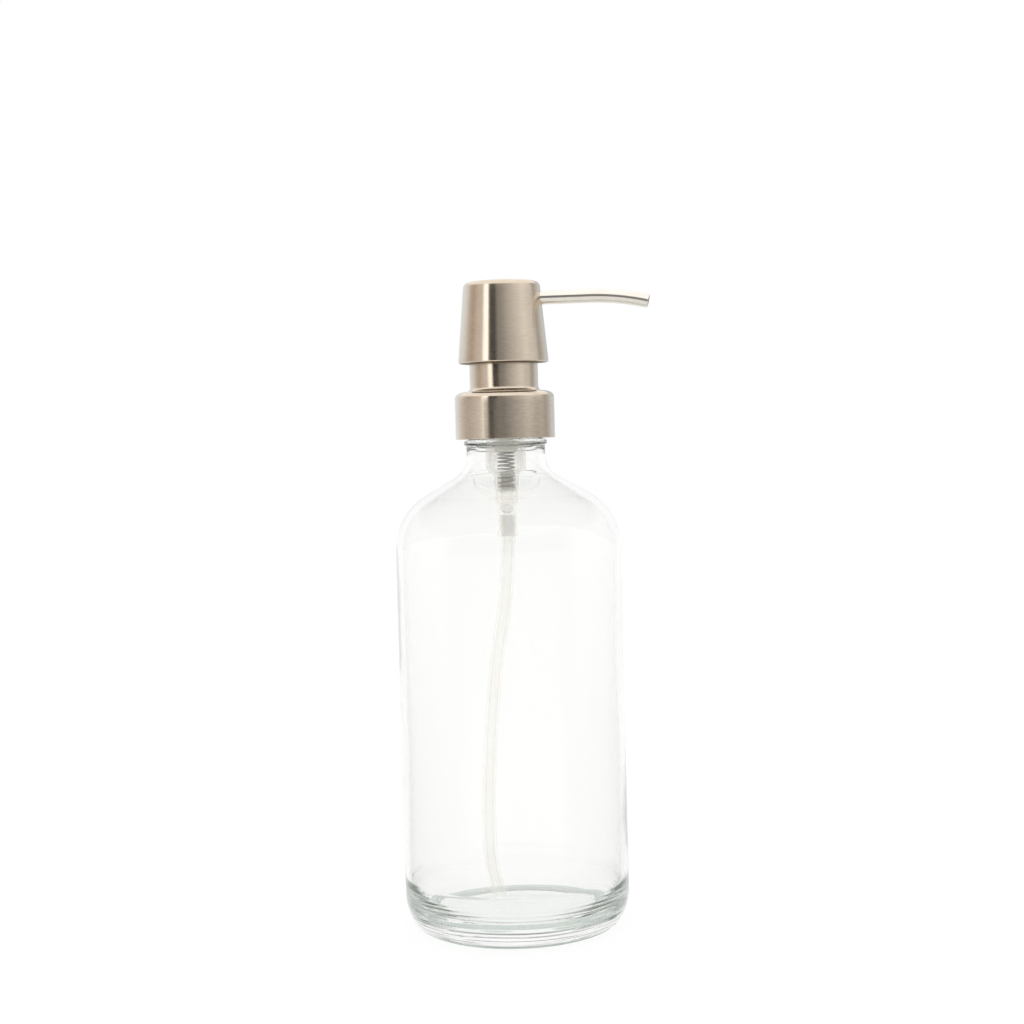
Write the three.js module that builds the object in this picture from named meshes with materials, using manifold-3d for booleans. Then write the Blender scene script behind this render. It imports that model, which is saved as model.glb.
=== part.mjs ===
// Soap pump dispenser: a round-shouldered glass bottle with a brushed steel pump screwed on its neck.
// Units are millimetres and +Z is up. The bottle stands on z = 0 with its axis on the Z axis, and the
// spout points along +X. The pump is drawn with its head fully up.
import * as THREE from "three";
import { mergeVertices } from "three/addons/utils/BufferGeometryUtils.js";
import Module from "manifold-3d";

const wasm = await Module();
wasm.setup();

// ---------------------------------------------------------------- driving dimensions

const COARSE = 40; // sides of the wide round pieces
const MEDIUM = 24; // sides of the pump's round pieces
const FINE = 20; // sides of the thinnest pieces
const ARC_STEPS = 3; // straight steps in a small rounded corner
const FIT = 0.1; // gap between pieces that are pressed together
const SEAT = 0.2; // gap between faces that rest on each other

// Bottle
const BOTTLE = { radius: 37.5, height: 170, wall: 2.3, pushUp: 1.0, floor: 5.6 };
const HEEL = { width: 7, height: 13 }; // the outside's rounding between wall and base
const INNER_HEEL = { width: 8, height: 12.5 };
const SHOULDER = { radius: 20.5, z: 126.5 };
const NECK = { radius: 13.1, fillet: 8, filletZ: 157 };
const BEAD = { radius: 13.9, bottom: 160.3, top: 162.4 };
const FINISH = { radius: 12.5, bore: 9.2, boreFoot: 165 };

// Screw thread between the bottle and the cap: one start, 6 turns to the inch, right-handed
const PITCH = 25.4 / 6;
const BOTTLE_THREAD = { crest: 13.75, root: 12.5, startZ: 163.5, turns: 1.2 };
const CAP_THREAD = { crest: 12.95, root: 14.15, firstTurn: 0.45, turns: 1.0 };
const THREAD_PLAY = 1.65; // the cap's thread runs this far below the bottle's

// Pump
const LIP_Z = BOTTLE.height;
const FLANGE = { bottom: LIP_Z + 1.2, top: LIP_Z + 2.6, radius: 12.2 };
const BARREL = { radius: 6.65, bore: 5.7, bottom: 151.6 };
const BALL = { radius: 2.0, chamber: 2.2, port: 1.3 };
const INLET = { portZ: 138.7, ledgeZ: 143.9 };
const SOCKET = { bottom: 129.8, top: 138.0, bore: 2.45 };
const DIP_TUBE = { radius: 2.3, bore: 1.6, bottom: 9.0 };
const CAGE = { radius: 2.0, bore: 1.3, flange: 3.05, flangeTop: 144.7, top: 150.2 };
const SPRING = { radius: 2.65, wire: 0.35, turns: 13, closedTurns: 1 };

const RETAINER = { bottom: 164.5, flangeTop: 165.6, top: 171.0, radius: 4.2, spigot: 1.7, cupBottom: 158.8 };
const PISTON = { bottom: 165.8, top: 171.4, lip: 5.55, waist: 4.8, bore: 3.2 };
const STEM = { radius: 3.0, bore: 1.3, collarRadius: 4.3, bottom: 165.8, top: 206.8 };
const OUTLET_PORT_Z = 202.6;

const GUIDE = { bore: 3.2, sleeve: 4.5, skirt: 8.8, bottom: 172.9, web: 3 };
const HOUSING_NECK = { radius: 7.3, top: 182 };

// Closure: plastic cap inside a drawn steel collar
const CAP = { radius: 15.75, bottom: 163, hole: 7.6, plateBottom: 172.9, plateTop: 174.4, rimTop: 177.4 };
const COLLAR = { radius: 16.55, wall: 0.55, bottom: 162.7, top: 178.4 };
const COLLAR_CORNER = { width: 3.2, height: 2.2 }; // the shoulder's rounding
const COLLAR_NECK = { radius: 11.4, top: 193.8, corner: 0.8, fillet: 1.5, mouth: 9.6 };
const LINER = { bore: 9.2, radius: 10.7, top: 193 };

// Head
const HEAD = { bottomRadius: 15.05, topRadius: 12.65, bottom: 187.8, top: 214.5, wall: 0.7, corner: 1.8 };
const CORE = { ringBottom: 204, top: 213.4, plate: 1.8, ring: 1.2, boss: 4.8, bossBottom: 199, arm: 3.7 };
const SPOUT = { radius: 2.25, bore: 1.75, z: 208.9, start: 5.4, bendStart: 29, bendRadius: 80, bend: 14.2 };

// ---------------------------------------------------------------- materials

const finish = (color, roughness, metalness, opacity = 1) =>
  new THREE.MeshStandardMaterial({ color, roughness, metalness, opacity, transparent: opacity < 1 });

const GLASS = finish(0xf2f8f5, 0.03, 0, 0.3);
const BRUSHED_STEEL = finish(0xb5a696, 0.32, 1);
const SPRING_STEEL = finish(0x9a9894, 0.25, 1);
const CLEAR_PLASTIC = finish(0xeeeadd, 0.35, 0, 0.6);
const WHITE_PLASTIC = finish(0xf3f1ea, 0.45, 0);
const FOAM = finish(0xf7f6f2, 0.9, 0);

// ---------------------------------------------------------------- geometry helpers

const point = (r, z) => new THREE.Vector2(r, z);

// Twice the signed area of a closed outline, positive when it runs anticlockwise.
function turning(outline) {
  return outline.reduce((sum, a, i) => {
    const b = outline[(i + 1) % outline.length];
    return sum + a.x * b.y - b.x * a.y;
  }, 0);
}

// Points on an arc about (r, z), from one angle to the other, in degrees from the +r direction. The arc is
// part of a circle, or of an oval where a height is given.
function arc(r, z, radius, from, to, steps = ARC_STEPS, height = radius) {
  return Array.from({ length: steps + 1 }, (_, i) => {
    const a = THREE.MathUtils.degToRad(from + ((to - from) * i) / steps);
    return point(r + radius * Math.cos(a), z + height * Math.sin(a));
  });
}

// A solid of revolution about the Z axis. The outline may start and end on the axis, or close on itself.
function revolve(outline, sides) {
  const ordered = turning(outline) < 0 ? [...outline].reverse() : [...outline];
  const onAxis = ordered.filter((p) => p.x === 0).length > 0;
  if (onAxis) {
    while (ordered[0].x !== 0 || ordered[ordered.length - 1].x !== 0) ordered.push(ordered.shift());
  } else {
    ordered.push(ordered[0].clone());
  }
  return new THREE.LatheGeometry(ordered, sides).rotateX(Math.PI / 2);
}

function toSolid(geometry) {
  const bare = new THREE.BufferGeometry().setAttribute("position", geometry.getAttribute("position"));
  bare.setIndex(geometry.index);
  const merged = mergeVertices(bare, 1e-4);
  return new wasm.Manifold(
    new wasm.Mesh({
      numProp: 3,
      vertProperties: merged.attributes.position.array,
      triVerts: new Uint32Array(merged.index.array),
    }),
  );
}

function toGeometry(solid) {
  const mesh = solid.getMesh();
  const geometry = new THREE.BufferGeometry()
    .setAttribute("position", new THREE.BufferAttribute(mesh.vertProperties, 3))
    .setIndex(new THREE.BufferAttribute(mesh.triVerts, 1));
  geometry.computeVertexNormals();
  return geometry;
}

// A cylinder lying along +X, from x0 to x1, at a height z.
function barAlongX(radius, x0, x1, z, sides = FINE) {
  return new THREE.CylinderGeometry(radius, radius, x1 - x0, sides)
    .rotateZ(Math.PI / 2)
    .translate((x0 + x1) / 2, 0, z);
}

// A round tube with an open bore that follows a curve.
function tubeAlong(curve, radius, bore, sides, steps) {
  const ring = new THREE.Shape().absarc(0, 0, radius, 0, 2 * Math.PI);
  ring.holes.push(new THREE.Path().absarc(0, 0, bore, 0, 2 * Math.PI, true));
  return new THREE.ExtrudeGeometry(ring, { steps, curveSegments: sides / 2, extrudePath: curve });
}

// A closed skin over a row of rings of points, each a closed loop with the same count. Seen from the ring
// before it, each ring runs anticlockwise.
function skin(rings) {
  const count = rings[0].length;
  const positions = rings.flat().flatMap((p) => [p.x, p.y, p.z]);
  const faces = [];
  for (let i = 0; i + 1 < rings.length; i++) {
    for (let j = 0; j < count; j++) {
      const k = (j + 1) % count;
      const [a, b, c, d] = [i * count + j, i * count + k, (i + 1) * count + k, (i + 1) * count + j];
      faces.push(a, c, b, a, d, c);
    }
  }
  const last = (rings.length - 1) * count;
  for (let j = 1; j + 1 < count; j++) {
    faces.push(0, j, j + 1, last, last + j + 1, last + j);
  }
  return new THREE.BufferGeometry()
    .setAttribute("position", new THREE.BufferAttribute(new Float32Array(positions), 3))
    .setIndex(faces);
}

const around = (r, angle, z) => new THREE.Vector3(r * Math.cos(angle), r * Math.sin(angle), z);

// A helical ridge from its wall at rootRadius to its crest, sunk a little into the wall, fading at its ends.
function threadRidge({ rootRadius, crest, startZ, firstTurn, turns }) {
  const stepsPerTurn = 30;
  const steps = Math.round(turns * stepsPerTurn);
  const fade = 0.12; // turns over which each end rises
  const sunk = 0.4 * Math.sign(rootRadius - crest);
  const [rootHalf, crestHalf] = [0.95, 0.5];
  const inward = crest < rootRadius;
  return skin(
    Array.from({ length: steps + 1 }, (_, i) => {
      const turn = firstTurn + (turns * i) / steps;
      const rise = Math.min(1, (turn - firstTurn) / fade, (firstTurn + turns - turn) / fade);
      const height = THREE.MathUtils.clamp(rise, 0.05, 1);
      const top = THREE.MathUtils.lerp(rootRadius, crest, height);
      const angle = 2 * Math.PI * turn;
      const z = startZ + PITCH * turn;
      const ring = [
        around(rootRadius + sunk, angle, z - rootHalf),
        around(top, angle, z - crestHalf),
        around(top, angle, z + crestHalf),
        around(rootRadius + sunk, angle, z + rootHalf),
      ];
      return inward ? ring.reverse() : ring;
    }),
  );
}

const parts = new THREE.Group();

function add(name, geometry, material) {
  const mesh = new THREE.Mesh(geometry, material);
  mesh.name = name;
  parts.add(mesh);
}

// ---------------------------------------------------------------- bottle

// Where a straight line touches the shoulder arc and the neck fillet, for a wall that lies `depth` inside
// the outer surface: [touch on the shoulder, touch on the neck fillet, angle of the touch in degrees].
function shoulderTangent(depth) {
  const low = point(BOTTLE.radius - SHOULDER.radius, SHOULDER.z);
  const high = point(NECK.radius + NECK.fillet, NECK.filletZ);
  const [r1, r2] = [SHOULDER.radius - depth, NECK.fillet + depth];
  const apart = high.clone().sub(low);
  const angle = Math.atan2(apart.y, apart.x) - Math.acos((r1 + r2) / apart.length());
  return { low, high, r1, r2, degrees: THREE.MathUtils.radToDeg(angle) };
}

function shoulderLine(depth, steps) {
  const { low, high, r1, r2, degrees } = shoulderTangent(depth);
  return [
    ...arc(low.x, low.y, r1, 0, degrees, steps),
    ...arc(high.x, high.y, r2, 180 + degrees, 180, steps),
  ];
}

function bottle() {
  const { radius, height, wall, pushUp, floor } = BOTTLE;
  const ringOuter = radius - HEEL.width;
  const ringInner = ringOuter - 2;
  const innerRadius = radius - wall;
  const lipRound = 0.6;
  const heelSteps = 5;
  const outer = [
    point(0, pushUp),
    point(ringInner - 5, pushUp),
    point(ringInner - 2, pushUp - 0.3),
    point(ringInner, 0),
    ...arc(ringOuter, HEEL.height, HEEL.width, -90, 0, heelSteps, HEEL.height),
    ...shoulderLine(0, 5),
    point(NECK.radius, BEAD.bottom),
    point(BEAD.radius, BEAD.bottom + 0.6),
    point(BEAD.radius, BEAD.top - 0.6),
    point(FINISH.radius, BEAD.top),
    ...arc(FINISH.radius - lipRound, height - lipRound, lipRound, 0, 90, 2),
  ];
  const { width: innerWidth, height: innerHeight } = INNER_HEEL;
  const innerHeel = arc(innerRadius - innerWidth, floor + innerHeight, innerWidth, 0, -90, 4, innerHeight);
  const inner = [
    ...arc(FINISH.bore + lipRound, height - lipRound, lipRound, 90, 180, 2),
    point(FINISH.bore, FINISH.boreFoot),
    ...shoulderLine(wall, 4).reverse(),
    ...innerHeel,
    point(0, floor + 0.6),
  ];
  const glass = toSolid(revolve([...outer, ...inner], COARSE));
  const thread = toSolid(
    threadRidge({ ...BOTTLE_THREAD, rootRadius: BOTTLE_THREAD.root, firstTurn: 0 }),
  );
  return toGeometry(glass.add(thread));
}

// ---------------------------------------------------------------- closure

function threadedCap() {
  const { radius, bottom, hole, plateBottom, plateTop, rimTop } = CAP;
  const rimInner = 12.5;
  const body = revolve(
    [
      point(CAP_THREAD.root, bottom),
      point(radius, bottom),
      point(radius, rimTop - 1.8),
      point(radius - 1.45, rimTop),
      point(rimInner, rimTop),
      point(rimInner, plateTop),
      point(hole, plateTop),
      point(hole, plateBottom),
      point(CAP_THREAD.root, plateBottom),
    ],
    COARSE,
  );
  const thread = threadRidge({
    ...CAP_THREAD,
    rootRadius: CAP_THREAD.root,
    startZ: BOTTLE_THREAD.startZ - THREAD_PLAY,
  });
  return toGeometry(toSolid(body).add(toSolid(thread)));
}

// The drawn collar's line at `depth` inside its outer surface, from the skirt's foot to the neck's mouth.
function collarLine(depth) {
  const { radius, bottom, top } = COLLAR;
  const { width, height } = COLLAR_CORNER;
  const neck = COLLAR_NECK;
  return [
    point(radius - depth, bottom),
    ...arc(radius - width, top - height, width - depth, 0, 90, ARC_STEPS, height - depth),
    ...arc(neck.radius + neck.fillet, top + neck.fillet, neck.fillet + depth, 270, 180, 3),
    ...arc(neck.radius - neck.corner, neck.top - neck.corner, neck.corner - depth, 0, 90, 2),
    point(neck.mouth, neck.top - depth),
  ];
}

const collarShell = () => revolve([...collarLine(0), ...collarLine(COLLAR.wall).reverse()], COARSE);

// Sleeve that stands on the cap and fills the collar's neck.
const neckLiner = () =>
  revolve(
    [
      point(LINER.bore, CAP.plateTop + FIT),
      point(LINER.radius, CAP.plateTop + FIT),
      point(LINER.radius, LINER.top - 0.5),
      point(LINER.radius - 0.5, LINER.top),
      point(LINER.bore, LINER.top),
    ],
    COARSE,
  );

const gasket = () =>
  revolve(
    [
      point(FINISH.bore + FIT, LIP_Z + FIT),
      point(FLANGE.radius, LIP_Z + FIT),
      point(FLANGE.radius, FLANGE.bottom - FIT),
      point(FINISH.bore + FIT, FLANGE.bottom - FIT),
    ],
    COARSE,
  );

// ---------------------------------------------------------------- pump body and its valve

function housing() {
  const springBore = 3.25;
  const seatTop = INLET.portZ + BALL.chamber - BALL.port;
  const body = revolve(
    [
      point(SOCKET.bore, SOCKET.bottom),
      point(3.2, SOCKET.bottom),
      point(3.6, SOCKET.bottom + 0.7),
      point(3.6, SOCKET.bottom + 1.4),
      point(3.2, SOCKET.bottom + 2.3),
      point(2.95, SOCKET.bottom + 3.5),
      point(2.95, INLET.ledgeZ - 1.3),
      point(3.75, INLET.ledgeZ - 0.7),
      point(4.0, INLET.ledgeZ + 2.6),
      point(4.9, BARREL.bottom - 2),
      point(BARREL.radius, BARREL.bottom),
      point(BARREL.radius, FLANGE.bottom),
      point(FLANGE.radius, FLANGE.bottom),
      point(FLANGE.radius, FLANGE.top),
      point(HOUSING_NECK.radius, FLANGE.top),
      point(HOUSING_NECK.radius, HOUSING_NECK.top - 0.4),
      point(HOUSING_NECK.radius - 0.4, HOUSING_NECK.top),
      point(BARREL.bore + 0.4, HOUSING_NECK.top),
      point(BARREL.bore, HOUSING_NECK.top - 0.4),
      point(BARREL.bore, BARREL.bottom + 0.8),
      point(springBore, 148.2),
      point(springBore, INLET.ledgeZ),
      point(BALL.chamber, INLET.ledgeZ),
      point(BALL.chamber, seatTop),
      point(BALL.port, INLET.portZ),
      point(BALL.port, SOCKET.top),
      point(SOCKET.bore, SOCKET.top),
    ],
    MEDIUM,
  );
  const vent = barAlongX(0.6, BARREL.bore - 1, BARREL.radius + 1, 168.5, 8);
  return toGeometry(toSolid(body).subtract(toSolid(vent)));
}

// A ball that rests just clear of a 45 degree seat whose narrow end is at portZ.
function valveBall(portZ) {
  const contact = BALL.radius * Math.SQRT1_2;
  const centre = portZ + (contact - BALL.port) + contact + FIT;
  return new THREE.SphereGeometry(BALL.radius, 16, 10).rotateX(Math.PI / 2).translate(0, 0, centre);
}

// The dip tube bows to one side on its way down and stops a little above the bottle's floor.
function dipTube() {
  const top = SOCKET.top - SEAT;
  const route = [
    [0, top],
    [0, 126],
    [-1.5, 108],
    [-5.3, 86],
    [-7.9, 60],
    [-8.9, 35],
    [-8.5, 20],
    [-5.9, DIP_TUBE.bottom],
  ].map(([x, z]) => new THREE.Vector3(x, 0, z));
  const curve = new THREE.CatmullRomCurve3(route, false, "centripetal");
  return tubeAlong(curve, DIP_TUBE.radius, DIP_TUBE.bore, 12, 20);
}

// Slotted tube on a flange: it keeps the inlet ball near its seat and centres the spring.
function ballCage() {
  const bottom = INLET.ledgeZ + FIT;
  const { radius, bore, flange, flangeTop, top } = CAGE;
  const body = revolve(
    [
      point(bore, bottom),
      point(flange, bottom),
      point(flange, flangeTop),
      point(radius, flangeTop),
      point(radius, top),
      point(bore, top),
    ],
    FINE,
  );
  const windowHeight = top - flangeTop - 1.4;
  const footSlot = new THREE.BoxGeometry(8, 0.9, 1).translate(0, 0, bottom);
  const sideWindow = new THREE.BoxGeometry(8, 1.2, windowHeight);
  sideWindow.translate(0, 0, (flangeTop + top) / 2);
  return toGeometry(toSolid(body).subtract(toSolid(footSlot)).subtract(toSolid(sideWindow)));
}

// Compression spring with one closed turn at each end.
function spring() {
  const stepsPerTurn = 10;
  const sides = 6;
  const { radius, wire, turns, closedTurns } = SPRING;
  const bottom = CAGE.flangeTop + wire + FIT;
  const top = RETAINER.bottom - wire - FIT;
  const closedPitch = 2 * wire + 0.05;
  const openTurns = turns - 2 * closedTurns;
  const openPitch = (top - bottom - 2 * closedTurns * closedPitch) / openTurns;
  const heightAt = (turn) => {
    const low = Math.min(turn, closedTurns) * closedPitch;
    const open = THREE.MathUtils.clamp(turn - closedTurns, 0, openTurns) * openPitch;
    const high = Math.max(0, turn - closedTurns - openTurns) * closedPitch;
    return bottom + low + open + high;
  };
  const rings = Array.from({ length: turns * stepsPerTurn + 1 }, (_, i) => {
    const turn = i / stepsPerTurn;
    return Array.from({ length: sides }, (_, k) => {
      const a = (2 * Math.PI * k) / sides;
      return around(radius + wire * Math.cos(a), 2 * Math.PI * turn, heightAt(turn) + wire * Math.sin(a));
    });
  });
  return skin(rings);
}

// Ring clipped over the pump body: it traps the cap, guides the stem and stops it at the top of its stroke.
function guideRing() {
  const webBottom = HOUSING_NECK.top + 2 * SEAT;
  const webTop = webBottom + GUIDE.web;
  return revolve(
    [
      point(GUIDE.bore, GUIDE.bottom),
      point(GUIDE.sleeve, GUIDE.bottom),
      point(GUIDE.sleeve, webBottom),
      point(HOUSING_NECK.radius + SEAT, webBottom),
      point(HOUSING_NECK.radius + SEAT, CAP.plateTop + 0.3),
      point(GUIDE.skirt, CAP.plateTop + 0.3),
      point(GUIDE.skirt, webTop),
      point(GUIDE.sleeve, webTop),
      point(GUIDE.sleeve, webTop + 1.2),
      point(GUIDE.bore, webTop + 1.2),
    ],
    MEDIUM,
  );
}

// ---------------------------------------------------------------- plunger

function piston() {
  const { bottom, top, lip, waist, bore } = PISTON;
  const lipHeight = 1.4;
  const cup = 0.7; // depth of the hollow that lets each lip flex
  return revolve(
    [
      point(bore, bottom),
      point(bore + 0.9, bottom),
      point(bore + 1.3, bottom + cup),
      point(lip - 0.5, bottom + cup),
      point(lip, bottom),
      point(lip, bottom + lipHeight),
      point(waist, bottom + lipHeight + 0.4),
      point(waist, top - lipHeight - 0.4),
      point(lip, top - lipHeight),
      point(lip, top),
      point(lip - 0.5, top - cup),
      point(bore + 1.3, top - cup),
      point(bore + 0.9, top),
      point(bore, top),
    ],
    MEDIUM,
  );
}

// Plug that holds the piston on the stem. The cup below it takes the top of the spring.
function pistonRetainer() {
  const { bottom, flangeTop, top, radius, spigot, cupBottom } = RETAINER;
  const bore = 1.1;
  const cupBore = 3.25;
  const cupTaper = 1.7; // height over which the cup narrows at its foot
  return revolve(
    [
      point(bore, bottom),
      point(cupBore, bottom),
      point(cupBore, cupBottom),
      point(cupBore + 0.25, cupBottom),
      point(radius, cupBottom + cupTaper),
      point(radius, flangeTop),
      point(spigot, flangeTop),
      point(spigot, top),
      point(bore, top),
    ],
    FINE,
  );
}

function stem() {
  const socket = RETAINER.spigot + FIT;
  const collarBottom = PISTON.top + SEAT;
  const collarTop = GUIDE.bottom - 0.3;
  const seatTop = OUTLET_PORT_Z + BALL.chamber - BALL.port;
  return revolve(
    [
      point(socket, STEM.bottom),
      point(STEM.radius, STEM.bottom),
      point(STEM.radius, collarBottom),
      point(STEM.collarRadius, collarBottom),
      point(STEM.collarRadius, collarTop),
      point(STEM.radius, collarTop),
      point(STEM.radius, STEM.top),
      point(BALL.chamber, STEM.top),
      point(BALL.chamber, seatTop),
      point(STEM.bore, OUTLET_PORT_Z),
      point(STEM.bore, RETAINER.top + 0.3),
      point(socket, RETAINER.top + 0.3),
    ],
    FINE,
  );
}

// ---------------------------------------------------------------- head

const taper = (HEAD.bottomRadius - HEAD.topRadius) / (HEAD.top - HEAD.bottom);
const headRadiusAt = (z) => HEAD.bottomRadius - taper * (z - HEAD.bottom);

// The conical cover's line at `depth` inside its outer surface, from the rim to the middle of the top.
function headLine(depth) {
  const { bottom, top, corner } = HEAD;
  const lean = THREE.MathUtils.radToDeg(Math.atan(taper));
  const z = top - corner;
  const centre = headRadiusAt(z) - corner / Math.cos(Math.atan(taper));
  return [
    point(headRadiusAt(bottom) - depth, bottom),
    ...arc(centre, z, corner - depth, lean, 90),
    point(0, top - depth),
  ];
}

function headCover() {
  const shell = revolve([...headLine(0), ...headLine(HEAD.wall).reverse()], COARSE);
  const hole = barAlongX(SPOUT.radius + SEAT, SPOUT.start, HEAD.bottomRadius + 2, SPOUT.z);
  return toGeometry(toSolid(shell).subtract(toSolid(hole)));
}

// Plastic core pressed into the cover: it holds the stem and the spout and joins their bores.
function headCore() {
  const clear = HEAD.wall + 0.3;
  const { ringBottom, top, plate, ring, boss, bossBottom, arm } = CORE;
  const stemBore = STEM.radius + FIT;
  const ceiling = STEM.top + SEAT;
  const topEdge = top - 1.2;
  const ringRadius = headRadiusAt(top) - clear - ring;
  const body = revolve(
    [
      point(0, bossBottom),
      point(boss - 0.5, bossBottom),
      point(boss, bossBottom + 0.8),
      point(boss, top - plate),
      point(ringRadius, top - plate),
      point(ringRadius, ringBottom),
      point(headRadiusAt(ringBottom) - clear, ringBottom),
      point(headRadiusAt(topEdge) - clear, topEdge),
      point(headRadiusAt(topEdge) - clear - 1.2, top),
      point(0, top),
    ],
    COARSE,
  );
  const stemSocket = revolve(
    [point(0, bossBottom - 1), point(stemBore, bossBottom - 1), point(stemBore, ceiling), point(0, ceiling)],
    FINE,
  );
  const port = revolve(
    [point(0, ceiling - 1), point(1.2, ceiling - 1), point(1.2, SPOUT.z), point(0, SPOUT.z)],
    12,
  );
  const slot = new THREE.BoxGeometry(4.3, 0.9, 1.8).translate(0, 0, ceiling + 0.6);
  const cuts = [
    stemSocket,
    port,
    slot,
    barAlongX(1.4, -1.4, SPOUT.start, SPOUT.z, 12),
    barAlongX(SPOUT.radius + FIT * 1.5, SPOUT.start - SEAT, HEAD.bottomRadius, SPOUT.z),
  ];
  const whole = toSolid(body).add(toSolid(barAlongX(arm, 0, ringRadius + 0.4, SPOUT.z)));
  return toGeometry(cuts.reduce((solid, cut) => solid.subtract(toSolid(cut)), whole));
}

// The spout runs straight out of the head and then bends gently down to a square-cut end.
class SpoutLine extends THREE.Curve {
  getPoint(t, target = new THREE.Vector3()) {
    const straight = SPOUT.bendStart - SPOUT.start;
    const bendLength = SPOUT.bendRadius * THREE.MathUtils.degToRad(SPOUT.bend);
    const along = t * (straight + bendLength);
    if (along <= straight) return target.set(SPOUT.start + along, 0, SPOUT.z);
    const angle = (along - straight) / SPOUT.bendRadius;
    return target.set(
      SPOUT.bendStart + SPOUT.bendRadius * Math.sin(angle),
      0,
      SPOUT.z - SPOUT.bendRadius * (1 - Math.cos(angle)),
    );
  }
}

const spout = () => tubeAlong(new SpoutLine(), SPOUT.radius, SPOUT.bore, 20, 8);

// ---------------------------------------------------------------- assembly

add("glass_bottle", bottle(), GLASS);
add("neck_gasket", gasket(), FOAM);
add("threaded_cap", threadedCap(), WHITE_PLASTIC);
add("collar_shell", collarShell(), BRUSHED_STEEL);
add("neck_liner", neckLiner(), WHITE_PLASTIC);
add("pump_housing", housing(), CLEAR_PLASTIC);
add("guide_ring", guideRing(), WHITE_PLASTIC);
add("dip_tube", dipTube(), CLEAR_PLASTIC);
add("ball_cage", ballCage(), WHITE_PLASTIC);
add("return_spring", spring(), SPRING_STEEL);
add("inlet_ball", valveBall(INLET.portZ), SPRING_STEEL);
add("piston", piston(), WHITE_PLASTIC);
add("piston_retainer", pistonRetainer(), WHITE_PLASTIC);
add("stem", stem(), WHITE_PLASTIC);
add("outlet_ball", valveBall(OUTLET_PORT_Z), SPRING_STEEL);
add("head_core", headCore(), WHITE_PLASTIC);
add("head_cover", headCover(), BRUSHED_STEEL);
add("spout_tube", spout(), BRUSHED_STEEL);

export default parts;
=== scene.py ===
"""Looks of a soap pump dispenser: a clear glass bottle with a brushed steel pump.

Lengths in this script are millimetres, in the part's own frame, and become metres when a mesh is built.
"""

import math

import bpy
from mathutils import Matrix, Vector


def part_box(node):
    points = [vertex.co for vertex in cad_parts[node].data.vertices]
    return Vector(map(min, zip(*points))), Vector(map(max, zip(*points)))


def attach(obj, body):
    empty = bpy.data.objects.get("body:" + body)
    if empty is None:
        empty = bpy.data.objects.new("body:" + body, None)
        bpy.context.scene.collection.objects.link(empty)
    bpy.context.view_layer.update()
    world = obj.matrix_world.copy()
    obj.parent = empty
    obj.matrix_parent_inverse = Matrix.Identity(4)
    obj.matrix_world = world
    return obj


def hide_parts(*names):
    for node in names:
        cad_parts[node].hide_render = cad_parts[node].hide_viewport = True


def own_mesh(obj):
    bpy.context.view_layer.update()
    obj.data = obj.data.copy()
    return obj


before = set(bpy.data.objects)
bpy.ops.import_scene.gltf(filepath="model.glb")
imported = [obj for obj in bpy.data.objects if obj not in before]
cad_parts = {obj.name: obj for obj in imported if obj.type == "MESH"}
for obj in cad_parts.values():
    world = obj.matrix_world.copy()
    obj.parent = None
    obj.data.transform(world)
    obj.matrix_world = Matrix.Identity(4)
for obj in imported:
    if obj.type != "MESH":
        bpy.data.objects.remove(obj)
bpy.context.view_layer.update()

MM = 0.001
TAU = 2 * math.pi

# ------------------------------------------------------------------ driving dimensions, in mm


def low(node):
    """Height of the lowest point of a CAD node."""
    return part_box(node)[0][2] / MM


def high(node):
    """Height of the highest point of a CAD node."""
    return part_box(node)[1][2] / MM


BOTTLE_RADIUS = 37.5
BOTTLE_TOP = high("glass_bottle")
WALL = 2.3
HEEL_WIDTH, HEEL_HEIGHT = 7.0, 13.0
INNER_HEEL_WIDTH, INNER_HEEL_HEIGHT, FLOOR_Z = 8.0, 12.5, 5.6
SHOULDER_RADIUS, SHOULDER_Z = 20.5, 126.5
NECK_RADIUS, NECK_FILLET, NECK_FILLET_Z = 13.1, 8.0, 157.0
BEAD_RADIUS, BEAD_BOTTOM, BEAD_TOP = 13.9, 160.3, 162.4
FINISH_RADIUS, BORE, BORE_FOOT_Z = 12.5, 9.2, 165.0
PITCH = 25.4 / 6
THREAD_HEIGHT, THREAD_HALF_FOOT, THREAD_HALF_CREST = 1.25, 0.95, 0.5
BOTTLE_THREAD_Z, BOTTLE_THREAD_TURNS = 163.5, 1.2
CAP_THREAD_FIRST, CAP_THREAD_TURNS, THREAD_PLAY = 0.45, 1.0, 1.65

BARREL_RADIUS, BARREL_BORE, BARREL_BOTTOM = 6.65, 5.7, 151.6
LEDGE_Z, SOCKET_TOP, SOCKET_BORE = 143.9, 138.0, 2.45
FLANGE_BOTTOM, FLANGE_TOP, FLANGE_RADIUS = BOTTLE_TOP + 1.2, BOTTLE_TOP + 2.6, 12.2
DIP_RADIUS, DIP_BORE = 2.3, 1.6
SPRING_RADIUS, SPRING_TURNS = 2.65, 13
WIRE = 0.35

COLLAR_RADIUS, COLLAR_WALL = 16.55, 0.55
COLLAR_CORNER_WIDTH, COLLAR_CORNER_HEIGHT = 3.2, 2.2
COLLAR_BOTTOM, COLLAR_TOP = low("collar_shell"), 178.4
COLLAR_NECK_RADIUS, COLLAR_NECK_TOP, COLLAR_FILLET = 11.4, high("collar_shell"), 1.5
COLLAR_MOUTH = 9.6

HEAD_BOTTOM, HEAD_TOP = low("head_cover"), high("head_cover")
HEAD_FOOT_RADIUS, HEAD_TOP_RADIUS, HEAD_WALL, HEAD_CORNER = 15.05, 12.65, 0.7, 1.8
SPOUT_RADIUS, SPOUT_BORE, SPOUT_Z, SPOUT_START = 2.25, 1.75, 208.9, 5.4
SPOUT_BEND_START, SPOUT_BEND_RADIUS, SPOUT_BEND = 29.0, 80.0, 14.2

# ------------------------------------------------------------------ outlines and meshes

SHARP_EDGE = math.radians(35)


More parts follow.
